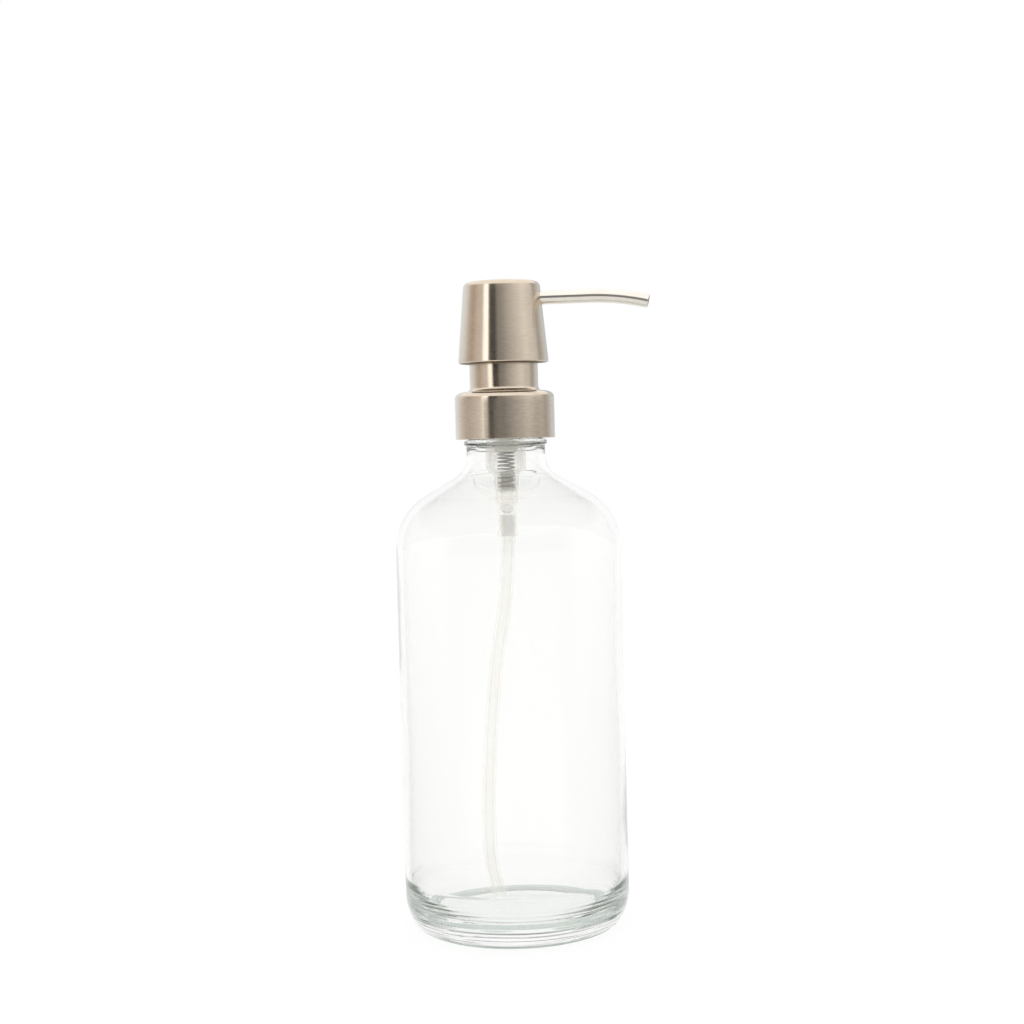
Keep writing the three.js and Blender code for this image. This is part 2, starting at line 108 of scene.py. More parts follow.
def arc(r, z, radius, start, end, steps=8, height=None):
    """Points on an arc about (r, z), in degrees from the +r direction. A height makes it part of an oval."""
    height = height or radius
    angles = [math.radians(start + (end - start) * i / steps) for i in range(steps + 1)]
    return [(r + radius * math.cos(a), z + height * math.sin(a)) for a in angles]


def line(a, b, steps):
    """Points along a straight stretch, without its first one."""
    return [(a[0] + (b[0] - a[0]) * i / steps, a[1] + (b[1] - a[1]) * i / steps) for i in range(1, steps + 1)]


def fill(mesh_name, rings, faces):
    """A smooth-shaded mesh from rings of points in mm, with edges over 35 degrees left sharp."""
    mesh = bpy.data.meshes.new(mesh_name)
    mesh.from_pydata([tuple(c * MM for c in p) for ring in rings for p in ring], [], faces)
    mesh.validate()
    mesh.polygons.foreach_set("use_smooth", [True] * len(mesh.polygons))
    mesh.set_sharp_from_angle(angle=SHARP_EDGE)
    return mesh


def revolve(name, outline, sides=160, shape=None):
    """A solid of revolution. The outline starts and ends on the axis, or closes on itself.

    shape(r, z, angle) may return a changed (r, z), for threads and moulded marks.
    """
    open_ends = outline[0][0] == 0 and outline[-1][0] == 0
    area = sum(a[0] * b[1] - b[0] * a[1] for a, b in zip(outline, outline[1:] + outline[:1]))
    if area < 0:
        outline = outline[::-1]
    verts, rows = [], []
    for r, z in outline:
        if r == 0:
            rows.append([len(verts)] * sides)
            verts.append((0, 0, z))
            continue
        rows.append(list(range(len(verts), len(verts) + sides)))
        for i in range(sides):
            angle = TAU * i / sides
            rr, zz = shape(r, z, angle) if shape else (r, z)
            verts.append((rr * math.cos(angle), rr * math.sin(angle), zz))
    pairs = list(zip(rows, rows[1:]))
    if not open_ends:
        pairs.append((rows[-1], rows[0]))
    faces = []
    for lower, upper in pairs:
        for i in range(sides):
            j = (i + 1) % sides
            corners = [lower[i], lower[j], upper[j], upper[i]]
            face = [c for k, c in enumerate(corners) if c != corners[k - 1]]
            if len(face) > 2:
                faces.append(face)
    return fill(name, [verts], faces)


def stations(path):
    """Point, normal, side and direction at each step of a path, carried along it without twist."""
    made = []
    normal = Vector((0, 1, 0))
    for i, point in enumerate(path):
        ahead = (path[min(i + 1, len(path) - 1)] - path[max(i - 1, 0)]).normalized()
        normal = (normal - ahead * normal.dot(ahead)).normalized()
        made.append((point, normal, ahead.cross(normal), ahead))
    return made


def sweep(name, path, section):
    """A closed skin over one section, given as offsets, that is carried along a path."""
    rings = [[point + normal * u + side * v for u, v in section] for point, normal, side, _ in stations(path)]
    size, last = len(section), (len(path) - 1) * len(section)
    faces = []
    for start in range(0, last, size):
        for k in range(size):
            m = (k + 1) % size
            faces.append([start + k, start + m, start + size + m, start + size + k])
    faces.append(list(range(size))[::-1])
    faces.append([last + k for k in range(size)])
    return fill(name, rings, faces)


def circle(radius, sides):
    """Offsets on a circle."""
    return [(radius * math.cos(TAU * k / sides), radius * math.sin(TAU * k / sides)) for k in range(sides)]


def ring(station, radius, sides, shift=0.0):
    """A ring of points square to a path, at one of its stations and shifted along it."""
    point, normal, side, ahead = station
    return [point + ahead * shift + normal * u + side * v for u, v in circle(radius, sides)]


def tube(name, path, radius, bore, sides=32, lip=0.15):
    """A round tube with an open bore and softened ends, along a path of points."""
    along = stations(path)
    first, last = along[0], along[-1]
    half = lip / 2
    rings = [ring(first, radius - lip, sides), ring(first, radius, sides, lip)]
    rings += [ring(station, radius, sides) for station in along[1:-1]]
    rings += [ring(last, radius, sides, -lip), ring(last, radius - lip, sides)]
    rings += [ring(last, bore + half, sides), ring(last, bore, sides, -half)]
    rings += [ring(station, bore, sides) for station in along[-2:0:-1]]
    rings += [ring(first, bore, sides, half), ring(first, bore + half, sides)]
    faces = []
    total = len(rings)
    for i in range(total):
        a, b = i * sides, ((i + 1) % total) * sides
        for k in range(sides):
            m = (k + 1) % sides
            faces.append([a + k, a + m, b + m, b + k])
    return fill(name, rings, faces)


def smooth_path(points, count):
    """Points on a centripetal Catmull-Rom curve through the given ones."""
    padded = [points[0] * 2 - points[1], *points, points[-1] * 2 - points[-2]]
    knots = [0.0]
    for a, b in zip(padded, padded[1:]):
        knots.append(knots[-1] + math.sqrt((b - a).length))
    made = []
    for i in range(count):
        t = knots[1] + (knots[-2] - knots[1]) * i / (count - 1)
        k = max(j for j in range(1, len(padded) - 2) if knots[j] <= t + 1e-9)
        p, u = padded[k - 1:k + 3], knots[k - 1:k + 3]
        a = [p[j].lerp(p[j + 1], (t - u[j]) / (u[j + 1] - u[j])) for j in range(3)]
        b = [a[j].lerp(a[j + 1], (t - u[j]) / (u[j + 2] - u[j])) for j in range(2)]
        made.append(b[0].lerp(b[1], (t - u[1]) / (u[2] - u[1])))
    return made


def add(name, mesh, body, node, material):
    """Puts a mesh in the scene as the visible form of a CAD node."""
    piece = bpy.data.objects.new(name, mesh)
    bpy.context.collection.objects.link(piece)
    mesh.materials.append(material)
    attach(piece, body)
    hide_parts(node)
    return piece


def line_inside(piece, material):
    """Gives the faces that look towards the Z axis a material of their own, here the inside faces that get
    the painted-shade steel.
    """
    piece.data.materials.append(material)
    for face in piece.data.polygons:
        if face.center.xy.dot(face.normal.xy) < 0:
            face.material_index = 1


def cut_away(piece, mesh):
    """Takes the volume inside a closed mesh out of a piece."""
    cutter = bpy.data.objects.new("cutter", mesh)
    bpy.context.collection.objects.link(cutter)
    cut = piece.modifiers.new("cut", "BOOLEAN")
    cut.operation = "DIFFERENCE"
    cut.solver = "EXACT"
    cut.object = cutter
    depsgraph = bpy.context.evaluated_depsgraph_get()
    shape = bpy.data.meshes.new_from_object(piece.evaluated_get(depsgraph))
    piece.modifiers.remove(cut)
    piece.data = shape
    shape.set_sharp_from_angle(angle=SHARP_EDGE)
    bpy.data.objects.remove(cutter)


def thread(rest, start_z, first, turns, height):
    """A shape function that raises a helical thread on the wall whose radius is rest."""
    near, run_out = 0.02, 0.12

    def shape(r, z, angle):
        if abs(r - rest) > near:
            return r, z
        rise = 0.0
        for lap in range(3):
            turn = angle / TAU + lap
            if not first < turn < first + turns:
                continue
            fade = min(1.0, (turn - first) / run_out, (first + turns - turn) / run_out)
            off = abs(z - (start_z + PITCH * turn))
            slope = (THREAD_HALF_FOOT - off) / (THREAD_HALF_FOOT - THREAD_HALF_CREST)
            rise = max(rise, fade * min(1.0, max(0.0, slope)))
        return r + height * rise, z
    return shape


# ------------------------------------------------------------------ node material helpers

GRAIN_ALONG = 400.0
DEEPEST_RAY = 5.5


class Nodes:
    """A short way to build the node tree of a material or of the world."""

    def __init__(self, owner, output="OutputMaterial"):
        self.owner = owner
        owner.use_nodes = True
        self.tree = owner.node_tree
        self.tree.nodes.clear()
        self.output = self.node(output)

    def node(self, kind, inputs=None, **settings):
        made = self.tree.nodes.new("ShaderNode" + kind)
        for key, value in settings.items():
            setattr(made, key, value)
        for key, value in (inputs or {}).items():
            if isinstance(value, bpy.types.NodeSocket):
                self.tree.links.new(value, made.inputs[key])
            else:
                made.inputs[key].default_value = value
        return made

    def math(self, operation, a, b=0.0):
        return self.node("Math", {0: a, 1: b}, operation=operation).outputs[0]

    def mix(self, factor, a, b):
        """From colour a at factor 0 to colour b at factor 1."""
        return self.node("Mix", {0: factor, 6: a, 7: b}, data_type="RGBA").outputs[2]

    def between(self, value, start, end):
        """0 where the value is at start, and 1 where it is at end."""
        return self.node("MapRange", {"Value": value, "From Min": start, "From Max": end}).outputs[0]

    def noise(self, scale, detail):
        """Noise over the object coordinates."""
        coordinates = self.node("TexCoord").outputs["Object"]
        return self.node("TexNoise", {"Vector": coordinates, "Scale": scale, "Detail": detail}).outputs[0]

    def ramp(self, factor, stops):
        made = self.node("ValToRGB", {"Fac": factor})
        ramp = made.color_ramp
        while len(ramp.elements) < len(stops):
            ramp.elements.new(0.5)
        for element, (place, colour) in zip(ramp.elements, stops):
            element.position = place
            element.color = (*colour, 1) if isinstance(colour, tuple) else (colour, colour, colour, 1)
        return made.outputs["Color"]

    def place(self):
        """The object coordinates split into x, y and z."""
        coordinates = self.node("TexCoord").outputs["Object"]
        return self.node("SeparateXYZ", {0: coordinates}).outputs

    def show(self, shader):
        self.tree.links.new(shader, self.output.inputs["Surface"])
        return self.owner


def brushed_steel(name, axis, dark, light, roughness, grain):
    """Satin steel with fine scratches. They run round the Z axis, or along X for a tube along X.

    grain is how finely their noise repeats across them, in cycles to a metre.
    """
    n = Nodes(bpy.data.materials.new(name))
    x, y, z = n.place()
    across = z
    scale = (GRAIN_ALONG, grain, grain)
    if axis == "Z":
        radius = n.math("SQRT", n.math("ADD", n.math("MULTIPLY", x, x), n.math("MULTIPLY", y, y)))
        across = n.math("SUBTRACT", z, radius)
        scale = (GRAIN_ALONG, GRAIN_ALONG, grain)
    scaled = [n.math("MULTIPLY", value, size) for value, size in zip((x, y, across), scale)]
    streak = n.node("CombineXYZ", dict(enumerate(scaled))).outputs[0]
    lines = n.node("TexNoise", {"Vector": streak, "Scale": 1.0, "Detail": 3.0, "Roughness": 0.7}).outputs[0]
    patches = n.noise(120.0, 3.0)
    shade = n.math("ADD", n.math("MULTIPLY", lines, 0.7), n.math("MULTIPLY", patches, 0.3))
    colour = n.ramp(shade, [(0.3, dark), (0.7, light)])
    rough = n.math("ADD", n.math("MULTIPLY", lines, 0.08), roughness - 0.04)
    bump = n.node("Bump", {"Height": lines, "Strength": 0.12, "Distance": 0.00002}).outputs[0]
    tangent = n.node("Tangent", direction_type="RADIAL", axis=axis).outputs[0]
    shader = n.node("BsdfPrincipled", {
        "Base Color": colour, "Metallic": 1.0, "Roughness": rough, "Normal": bump, "Tangent": tangent,
        "Anisotropic": 0.65, "Anisotropic Rotation": 0.25})
    return n.show(shader.outputs[0])


def clear_glass(name, colour, roughness):
    """Glass with a slightly wavy surface, and clear to light that only passes by.

    Light caught inside the thick base passes straight out after a few reflections.
    """
    n = Nodes(bpy.data.materials.new(name))
    bump = n.node("Bump", {"Height": n.noise(45.0, 1.5), "Strength": 0.25, "Distance": 0.0004}).outputs[0]
    glass = n.node("BsdfPrincipled", {
        "Base Color": colour, "Roughness": roughness, "IOR": 1.51,
        "Transmission Weight": 1.0, "Normal": bump}).outputs[0]
    clear = n.node("BsdfTransparent", {"Color": (0.978, 0.982, 0.979, 1)}).outputs[0]
    dim = n.node("BsdfTransparent", {"Color": (0.60, 0.63, 0.60, 1)}).outputs[0]
    path = n.node("LightPath").outputs
    caught = n.math("GREATER_THAN", path["Ray Depth"], DEEPEST_RAY)
    seen = n.node("MixShader", {0: caught, 1: glass, 2: dim}).outputs[0]
    passing = n.math("MAXIMUM", path["Is Shadow Ray"], path["Is Diffuse Ray"])
    return n.show(n.node("MixShader", {0: passing, 1: seen, 2: clear}).outputs[0])


def milky_plastic(name, dark, light, thin, thick, roughness, grain):
    """Translucent moulded plastic: see-through face on, cloudier where it is seen edge on.

    thin and thick are how cloudy it is face on and edge on, from 0 to 1.
    """
    n = Nodes(bpy.data.materials.new(name))
    mottle = n.noise(grain, 3.0)
    facing = n.node("LayerWeight", {"Blend": 0.35}).outputs["Facing"]
    cloud = n.node("MapRange", {"Value": facing, "To Min": thin, "To Max": thick}).outputs[0]
    cloud = n.math("ADD", cloud, n.math("MULTIPLY", n.math("SUBTRACT", mottle, 0.5), 0.12))
    bump = n.node("Bump", {"Height": mottle, "Strength": 0.1, "Distance": 0.0001}).outputs[0]
    tint = n.ramp(mottle, [(0.4, dark), (0.6, light)])
    shader = n.node("BsdfPrincipled", {
        "Base Color": tint, "Roughness": roughness, "IOR": 1.49, "Alpha": cloud, "Normal": bump,
        "Specular IOR Level": 0.3})
    return n.show(shader.outputs[0])


def white_plastic(name, colour, roughness):
    """Moulded plastic with a faint mottle and texture."""
    n = Nodes(bpy.data.materials.new(name))
    mottle = n.noise(400.0, 4.0)
    tint = n.ramp(mottle, [(0.3, tuple(c * 0.94 for c in colour)), (0.7, colour)])
    bump = n.node("Bump", {"Height": mottle, "Strength": 0.15, "Distance": 0.0001}).outputs[0]
    rough = n.math("ADD", n.math("MULTIPLY", mottle, 0.12), roughness - 0.06)
    shader = n.node("BsdfPrincipled", {
        "Base Color": tint, "Roughness": rough, "Normal": bump, "Subsurface Weight": 0.15,
        "Subsurface Scale": 0.001})
    return n.show(shader.outputs[0])


def shaded_wire():
    """Drawn stainless wire, painted nearly black as painted shade for the dim inside of the housing."""
    n = Nodes(bpy.data.materials.new("spring_steel"))
    grain = n.noise(900.0, 3.0)
    tint = n.ramp(grain, [(0.3, (0.13, 0.125, 0.12)), (0.7, (0.20, 0.195, 0.185))])
    rough = n.math("ADD", n.math("MULTIPLY", grain, 0.15), 0.15)
    shader = n.node("BsdfPrincipled", {"Base Color": tint, "Metallic": 1.0, "Roughness": rough})
    return n.show(shader.outputs[0])


GLASS = clear_glass("clear_glass", (0.996, 0.997, 0.991, 1), 0.0)
# Glass for the stippled ring and the bottom of the heel: frosted like the stippling, and painted dark
# green-grey as painted contact shadow.
STIPPLED_SHADED_GLASS = clear_glass("stippled_glass_painted_shade", (0.40, 0.47, 0.42, 1), 0.22)
STEEL = brushed_steel("brushed_steel", "Z", (0.55, 0.465, 0.37), (0.68, 0.585, 0.475), 0.2, 4500.0)
# Inside of the collar and head: the same steel, rougher and painted darker, as painted shade in the hollow.
SHADED_INNER_STEEL = brushed_steel("inner_steel_painted_shade", "Z", (0.42, 0.375, 0.33), (0.50, 0.45, 0.40), 0.5, 2500.0)
SPOUT_STEEL = brushed_steel("brushed_spout_steel", "X", (0.70, 0.65, 0.58), (0.84, 0.79, 0.72), 0.16, 3000.0)
HOUSING_PLASTIC = milky_plastic(
    "housing_plastic", (0.97, 0.93, 0.84), (1.0, 0.97, 0.90), 0.14, 0.48, 0.32, 260.0)
TUBE_PLASTIC = milky_plastic(
    "dip_tube_plastic", (0.89, 0.91, 0.83), (0.95, 0.89, 0.84), 0.14, 0.34, 0.25, 45.0)
WHITE_PLASTIC = white_plastic("white_plastic", (0.90, 0.89, 0.86), 0.42)
# Grey plastic for the ball cage and piston retainer: white parts painted grey, as painted shade inside the
# housing.
SHADED_GREY_PLASTIC = white_plastic("grey_plastic_painted_shade", (0.56, 0.55, 0.51), 0.4)
FOAM = white_plastic("gasket_foam", (0.92, 0.92, 0.9), 0.9)
# Spring wire far darker than bare steel: painted shade.
SHADED_WIRE_STEEL = shaded_wire()
BALL_GLASS = milky_plastic("ball_glass", (0.88, 0.89, 0.88), (0.92, 0.93, 0.92), 0.12, 0.5, 0.08, 260.0)

# ------------------------------------------------------------------ bottle


def shoulder(depth, steps=16):
    """The shoulder arc and the neck fillet, joined by their common tangent, `depth` inside the surface."""
    low_r, low_z = BOTTLE_RADIUS - SHOULDER_RADIUS, SHOULDER_Z
    high_r, high_z = NECK_RADIUS + NECK_FILLET, NECK_FILLET_Z
    r1, r2 = SHOULDER_RADIUS - depth, NECK_FILLET + depth
    apart = math.hypot(high_r - low_r, high_z - low_z)
    touch = math.degrees(math.atan2(high_z - low_z, high_r - low_r) - math.acos((r1 + r2) / apart))
    first = arc(low_r, low_z, r1, 0, touch, steps)
    second = arc(high_r, high_z, r2, 180 + touch, 180, steps)
    return first + line(first[-1], second[0], 4)[:-1] + second


def heel_ripple(z, angle):
    """Low waves round the heel, in mm, that drift up and down on their way round."""
    drift = 1.3 * math.sin(2 * angle) + 0.8 * math.sin(5 * angle + 1.0)
    return 0.035 * math.sin(4.6 * z + drift) + 0.022 * math.sin(7.9 * z - drift)


def unevenness(z, angle):
    """How far the shoulder and the inside of the body stray from round, in mm."""
    return 0.10 * math.sin(2 * angle + z / 17) + 0.07 * math.sin(3 * angle - z / 11)


def bottle():
    """The outline runs from the push-up out and up the wall, over the lip and down the inside.

    The heel is rippled, and the bottle stands on a stippled ring; the lowest glass is painted darker there,
    as painted contact shadow.
    """
    ring_radius = BOTTLE_RADIUS - HEEL_WIDTH
    inner = BOTTLE_RADIUS - WALL
    lip = 0.6
    bead = (BEAD_TOP - BEAD_BOTTOM) / 2
    under = arc(0, -599, 600, 90, 87.7, 10) + [(27.6, 0.45)]
    heel = arc(ring_radius, HEEL_HEIGHT, HEEL_WIDTH, -90, 0, 48, HEEL_HEIGHT)
    outer = under + line((27.9, 0.0), (ring_radius, 0.0), 4)[:-1] + heel
    outer += line(heel[-1], (BOTTLE_RADIUS, SHOULDER_Z), 24)[:-1] + shoulder(0)
    outer += [(NECK_RADIUS, BEAD_BOTTOM)]
    outer += arc(BEAD_RADIUS - bead, BEAD_BOTTOM + bead, bead, -60, 80, 12)
    outer += [(FINISH_RADIUS, BEAD_TOP)]
    outer += line((FINISH_RADIUS, BEAD_TOP), (FINISH_RADIUS, BOTTLE_TOP - lip), 28)
    outer += arc(FINISH_RADIUS - lip, BOTTLE_TOP - lip, lip, 0, 90, 4)[1:]
    inside = arc(BORE + lip, BOTTLE_TOP - lip, lip, 90, 180, 4)
    inside += [(BORE, BORE_FOOT_Z + 0.6), (BORE + 0.12, BORE_FOOT_Z - 0.2)]
    inside += line((BORE + 0.12, BORE_FOOT_Z - 0.2), (NECK_RADIUS - WALL - 0.06, NECK_FILLET_Z + 1), 6)
    inside += shoulder(WALL)[::-1]
    inside += line((inner, SHOULDER_Z), (inner, FLOOR_Z + INNER_HEEL_HEIGHT), 24)[:-1]
    inside += arc(inner - INNER_HEEL_WIDTH, FLOOR_Z + INNER_HEEL_HEIGHT, INNER_HEEL_WIDTH, 0, -90, 48,
                  INNER_HEEL_HEIGHT)
    dome = [0.05, 0.25, 0.45, 0.6]
    inside += [(r, FLOOR_Z + h) for r, h in zip((24.5, 17.0, 9.0, 0), dome)]
    ridge = thread(FINISH_RADIUS, BOTTLE_THREAD_Z, 0.0, BOTTLE_THREAD_TURNS, THREAD_HEIGHT)
    stipples, stipple_rise, ripple_top, uneven_from, uneven_to = 128, 0.17, 17.0, 6, 152

    def shape(r, z, angle):
        if z == 0.0:
            return r, stipple_rise + stipple_rise * math.cos(stipples * angle + 9.0 * r)
        if BEAD_TOP < z < BOTTLE_TOP - 0.7:
            return ridge(r, z, angle)
        if r > 24.0 and z < ripple_top:
            fade = min(1.0, (ripple_top - z) / 4) * (1 + max(0.0, 6.0 - z) / 4)
            return r + min(heel_ripple(z, angle) * fade, BOTTLE_RADIUS - r), z
        if uneven_from < z < uneven_to and r < BOTTLE_RADIUS - 1:
            return r + unevenness(z, angle) * min(1.0, r / 20), z
        return r, z

    mesh = revolve("bottle_glass", outer + inside, 384, shape)
    add("bottle_glass", mesh, "bottle", "glass_bottle", GLASS)
    mesh.materials.append(STIPPLED_SHADED_GLASS)
    # The lowest faces of the heel and ring get the darker glass: painted contact shadow.
    ring_height, ring_inner = 1.6, 27.8
    for face in mesh.polygons:
        if face.center.z < ring_height * MM and face.center.xy.length > ring_inner * MM:
            face.material_index = 1


# ------------------------------------------------------------------ closure


def collar():
    """A drawn shell: skirt, rounded shoulder and neck. Its inside is rougher and painted darker than its
    outside, as painted shade.
    """
    def skin(depth):
        neck_corner = 0.8
        return [
            (COLLAR_RADIUS - depth, COLLAR_BOTTOM + 0.15),
            (COLLAR_RADIUS - depth, COLLAR_BOTTOM + 0.4),
            *line((COLLAR_RADIUS - depth, COLLAR_BOTTOM + 0.4),
                  (COLLAR_RADIUS - depth, COLLAR_TOP - COLLAR_CORNER_HEIGHT), 8)[:-1],
            *arc(COLLAR_RADIUS - COLLAR_CORNER_WIDTH, COLLAR_TOP - COLLAR_CORNER_HEIGHT,
                 COLLAR_CORNER_WIDTH - depth, 0, 90, 14, COLLAR_CORNER_HEIGHT - depth),
            *arc(COLLAR_NECK_RADIUS + COLLAR_FILLET, COLLAR_TOP + COLLAR_FILLET,
                 COLLAR_FILLET + depth, 270, 180, 8),
            *arc(COLLAR_NECK_RADIUS - neck_corner, COLLAR_NECK_TOP - neck_corner,
                 neck_corner - depth, 0, 90, 6),
            (COLLAR_MOUTH, COLLAR_NECK_TOP - depth),
        ]
    foot = [(COLLAR_RADIUS - COLLAR_WALL + 0.12, COLLAR_BOTTOM), (COLLAR_RADIUS - 0.12, COLLAR_BOTTOM)]
    mesh = revolve("collar_steel", foot + skin(0) + skin(COLLAR_WALL)[::-1], 192)
    line_inside(add("collar_steel", mesh, "closure", "collar_shell", STEEL), SHADED_INNER_STEEL)


def screw_cap():
    """A threaded skirt, the plate that holds the pump's flange down, and a rim inside the collar."""
    root, radius, bottom, rim_top = 14.15, 15.75, 163.0, 177.4
    plate_bottom, plate_top, hole, rim_inner = 172.9, 174.4, 7.6, 12.5
    crest, rim_outer, rim_slope = 12.95, 14.3, 1.8
    outline = [
        (root, bottom + 0.2), (root + 0.2, bottom), (radius - 0.2, bottom), (radius, bottom + 0.2),
        (radius, rim_top - rim_slope), (rim_outer, rim_top), (rim_inner, rim_top), (rim_inner, plate_top),
        (hole + 0.2, plate_top), (hole, plate_top - 0.2), (hole, plate_bottom),
    ]
    outline += [(root, plate_bottom)] + line((root, plate_bottom), (root, bottom + 0.2), 40)[:-1]
    start = BOTTLE_THREAD_Z - THREAD_PLAY
    ridge = thread(root, start, CAP_THREAD_FIRST, CAP_THREAD_TURNS, crest - root)
    mesh = revolve("screw_cap", outline, 192, ridge)
    add("screw_cap", mesh, "closure", "threaded_cap", WHITE_PLASTIC)


def neck_liner():
    """The sleeve that fills the collar's neck."""
    bore, radius, bottom, top = 9.2, 10.7, low("neck_liner"), high("neck_liner")
    outline = [(bore, bottom), (radius, bottom), (radius, top - 0.5), (radius - 0.5, top), (bore, top)]
    add("neck_liner_sleeve", revolve("neck_liner_sleeve", outline, 96), "closure", "neck_liner",
        WHITE_PLASTIC)


def gasket():
    """A flat ring with one softened edge."""
    bottom, top, hole, corner = low("neck_gasket"), high("neck_gasket"), BORE + 0.1, 0.3
    outline = [(hole, bottom), (FLANGE_RADIUS, bottom),
               *arc(FLANGE_RADIUS - corner, top - corner, corner, 0, 90, 4), (hole, top)]
    add("gasket_ring", revolve("gasket_ring", outline, 96), "pump_body", "neck_gasket", FOAM)


# ------------------------------------------------------------------ pump body


def housing():
    """The tube socket with its flared foot, the inlet seat, the spring chamber, the barrel and its flange."""
    spring_bore, spring_bore_top, throat, collar = 3.25, 148.2, 2.95, 7.3
    socket_bottom = low("pump_housing")
    top = high("pump_housing")
    chamber, port, port_z = 2.2, 1.3, 138.7
    outline = [
        (SOCKET_BORE, socket_bottom), (3.15, socket_bottom),
        *arc(3.15, socket_bottom + 0.75, 0.45, -90, 0, 5, 0.75), (3.6, socket_bottom + 1.3),
        (3.5, socket_bottom + 1.8), (3.25, socket_bottom + 2.3), (3.05, socket_bottom + 2.9),
        (throat, socket_bottom + 3.5), (throat, LEDGE_Z - 1.4), *arc(3.4, LEDGE_Z - 0.9, 0.35, -60, 0, 5),
        (3.8, LEDGE_Z + 0.6), (4.0, LEDGE_Z + 2.6), (4.35, BARREL_BOTTOM - 3.4), (4.9, BARREL_BOTTOM - 2.0),
        (6.45, BARREL_BOTTOM - 0.2), (BARREL_RADIUS, BARREL_BOTTOM + 0.3),
        (BARREL_RADIUS, FLANGE_BOTTOM), (FLANGE_RADIUS, FLANGE_BOTTOM),
        (FLANGE_RADIUS, FLANGE_TOP), (collar, FLANGE_TOP), (collar, top - 0.4), (collar - 0.4, top),
        (BARREL_BORE + 0.4, top), (BARREL_BORE, top - 0.4), (BARREL_BORE, BARREL_BOTTOM + 0.8),
        (spring_bore, spring_bore_top), (spring_bore, LEDGE_Z), (chamber, LEDGE_Z),
        (chamber, port_z + chamber - port), (port, port_z), (port, SOCKET_TOP), (SOCKET_BORE, SOCKET_TOP),
    ]
    add("pump_barrel", revolve("pump_barrel", outline, 96), "pump_body", "pump_housing",
        HOUSING_PLASTIC)


def guide_ring():
    """A sleeve round the stem and a skirt round the top of the barrel, joined by a web."""
    bore, sleeve, skirt_inner, skirt, skirt_bottom = 3.2, 4.5, 7.5, 8.8, 174.7
    bottom, top = low("guide_ring"), high("guide_ring")
    web_top, web_bottom = top - 1.2, top - 4.2
    outline = [
        (bore, bottom), (sleeve, bottom), (sleeve, web_bottom), (skirt_inner, web_bottom),
        (skirt_inner, skirt_bottom), (skirt, skirt_bottom), (skirt, web_top - 0.4), (skirt - 0.4, web_top),
        (sleeve, web_top), (sleeve, top - 0.2), (sleeve - 0.2, top), (bore + 0.3, top), (bore, top - 0.3),
    ]
    add("stem_guide", revolve("stem_guide", outline, 96), "pump_body", "guide_ring",
        WHITE_PLASTIC)


def dip_tube():
    """The tube bows to one side on its way down."""
    top, bottom = high("dip_tube"), 9.0
    stations = [
        (0, top), (0, 126), (-1.5, 108), (-5.3, 86), (-7.9, 60), (-8.9, 35), (-8.5, 20), (-5.9, bottom),
    ]
    path = smooth_path([Vector((x, 0, z)) for x, z in stations], 90)
    add("dip_tube_clear", tube("dip_tube_clear", path, DIP_RADIUS, DIP_BORE), "pump_body", "dip_tube",
        TUBE_PLASTIC)


def ball_cage():
    """A tube on a flange, with a window through both sides."""
    bottom, top, flange_top = low("ball_cage"), high("ball_cage"), 144.7
    bore, radius, flange, window = 1.3, 2.0, 3.05, 1.2
    mesh = revolve("cage", [(bore, bottom), (flange, bottom), (flange, flange_top), (radius, flange_top),
                            (radius, top), (bore, top)], 48)
    cage = add("ball_cage_tube", mesh, "pump_body", "ball_cage", SHADED_GREY_PLASTIC)
    margin, reach, half = 0.7, 4, window / 2
    ends = [Vector((0, 0, flange_top + margin)), Vector((0, 0, top - margin))]
    opening = [(-half, -reach), (half, -reach), (half, reach), (-half, reach)]
    cut_away(cage, sweep("window", ends, opening))


def spring():
    """The return spring: a coil with a closed turn at each end, on a mesh of its own."""
    bottom, top = low("return_spring") + WIRE, high("return_spring") - WIRE
    steps_per_turn, closed_pitch = 36, 2 * WIRE + 0.05
    open_turns = SPRING_TURNS - 2
    open_pitch = (top - bottom - 2 * closed_pitch) / open_turns
    path = []
    for i in range(SPRING_TURNS * steps_per_turn + 1):
        turn = i / steps_per_turn
        opened = min(max(turn - 1, 0), open_turns)
        z = bottom + closed_pitch * (turn - opened) + open_pitch * opened
        path.append(Vector((SPRING_RADIUS * math.cos(TAU * turn), SPRING_RADIUS * math.sin(TAU * turn), z)))
    mesh = sweep("return_coil", path, circle(WIRE, 10))
    piece = add("return_coil", mesh, "pump_body", "return_spring", SHADED_WIRE_STEEL)
    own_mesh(piece)


def ball(name, node, body):
    """A valve ball, where its CAD node is."""
    lowest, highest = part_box(node)
    radius = (highest[2] - lowest[2]) / 2 / MM
    centre = (highest[2] + lowest[2]) / 2 / MM
    outline = arc(0, centre, radius, -90, 90, 24)
    outline = [(0, outline[0][1]), *outline[1:-1], (0, outline[-1][1])]
    add(name, revolve(name, outline, 48), body, node, BALL_GLASS)


# ------------------------------------------------------------------ head

HEAD_TAPER = (HEAD_FOOT_RADIUS - HEAD_TOP_RADIUS) / (HEAD_TOP - HEAD_BOTTOM)


def head_radius(z):
    """Radius of the head's outside at a height."""
    return HEAD_FOOT_RADIUS - HEAD_TAPER * (z - HEAD_BOTTOM)


